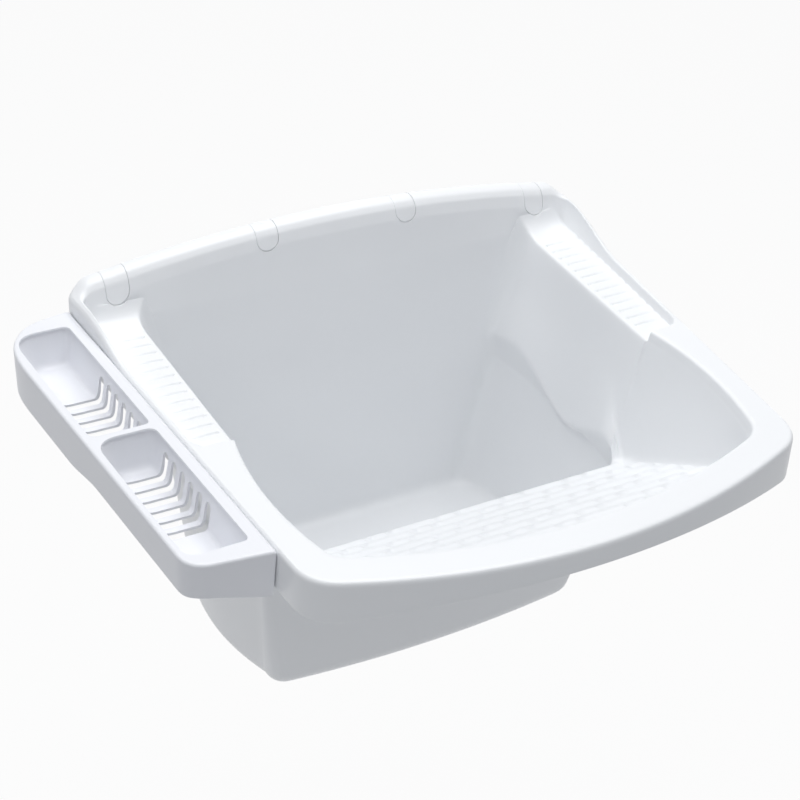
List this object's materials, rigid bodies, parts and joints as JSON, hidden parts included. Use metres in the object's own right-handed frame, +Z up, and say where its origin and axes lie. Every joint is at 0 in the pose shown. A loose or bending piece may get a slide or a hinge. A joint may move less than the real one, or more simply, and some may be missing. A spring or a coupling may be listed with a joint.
{
  "type": "utility laundry sink",
  "caption": "Wall-hung moulded laundry tank with a sloped washboard, two grooved soap ledges, a clip-on tray with drain slots, snap covers over its wall screws and a waste with a plug.",
  "frame": {"origin": "the wall face of the basin, on its middle line, at the height of the flat rim", "axes": "+Y into the wall, +Z up, the user stands at -Y"},
  "size_m": [0.651, 0.5398, 0.4859],
  "materials": {
    "tank_plastic": "glossy moulded white",
    "tray_plastic": "satin moulded white",
    "cover_plastic": "glossy moulded white",
    "waste_plastic": "satin moulded white",
    "black_rubber": "matt",
    "stainless": "brushed"
  },
  "bodies": {
    "tank": {"basin": "tank_plastic", "wall_screw_1": "stainless", "wall_screw_2": "stainless", "wall_screw_3": "stainless", "wall_screw_4": "stainless", "wall_washer_1": "stainless", "wall_washer_2": "stainless", "wall_washer_3": "stainless", "wall_washer_4": "stainless", "waste_body": "waste_plastic", "waste_gasket_upper": "black_rubber", "waste_gasket_lower": "black_rubber", "waste_backnut": "waste_plastic", "waste_grid": "stainless", "waste_grid_screw": "stainless"},
    "tray": {"accessory_tray": "tray_plastic"},
    "cover_1": {"fixing_cover_1": "cover_plastic"},
    "cover_2": {"fixing_cover_2": "cover_plastic"},
    "cover_3": {"fixing_cover_3": "cover_plastic"},
    "cover_4": {"fixing_cover_4": "cover_plastic"},
    "plug": {"drain_plug": "black_rubber", "plug_ring": "stainless"}
  },
  "joints": [
    {"name": "tray_unclip", "type": "slide", "parent": "tank", "child": "tray", "axis": [-1, 0, 0], "range_m": [0, 0.1]},
    {"name": "cover_1_lift", "type": "slide", "parent": "tank", "child": "cover_1", "axis": [0, 0, 1], "range_m": [0, 0.06]},
    {"name": "cover_2_lift", "type": "slide", "parent": "tank", "child": "cover_2", "axis": [0, 0, 1], "range_m": [0, 0.06]},
    {"name": "cover_3_lift", "type": "slide", "parent": "tank", "child": "cover_3", "axis": [0, 0, 1], "range_m": [0, 0.06]},
    {"name": "cover_4_lift", "type": "slide", "parent": "tank", "child": "cover_4", "axis": [0, 0, 1], "range_m": [0, 0.06]},
    {"name": "plug_lift", "type": "slide", "parent": "tank", "child": "plug", "axis": [0, 0, 1], "range_m": [0, 0.42]}
  ]
}
